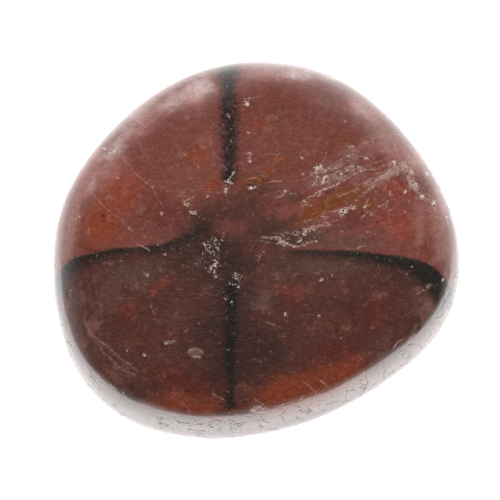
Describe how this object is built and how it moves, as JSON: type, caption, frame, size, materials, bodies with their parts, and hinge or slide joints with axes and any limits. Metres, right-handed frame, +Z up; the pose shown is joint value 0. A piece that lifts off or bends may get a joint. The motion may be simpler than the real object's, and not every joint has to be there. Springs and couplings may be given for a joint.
{
  "type": "tumbled chiastolite",
  "caption": "Low rounded pebble of tumbled, polished chiastolite: rose-brown stone with a dark graphite cross inside, resting on a small worn flat spot.",
  "frame": {"origin": "in the plane of the flat spot that the pebble rests on, under the middle of its box", "axes": "+X along the longest extent, +Y away from the viewer along the cross's long dark arm, +Z up out of the surface it rests on"},
  "size_m": [0.0282, 0.0264, 0.0124],
  "materials": {
    "polished_andalusite": "polished"
  },
  "bodies": {
    "root": {"pebble": "polished_andalusite"}
  },
  "joints": []
}
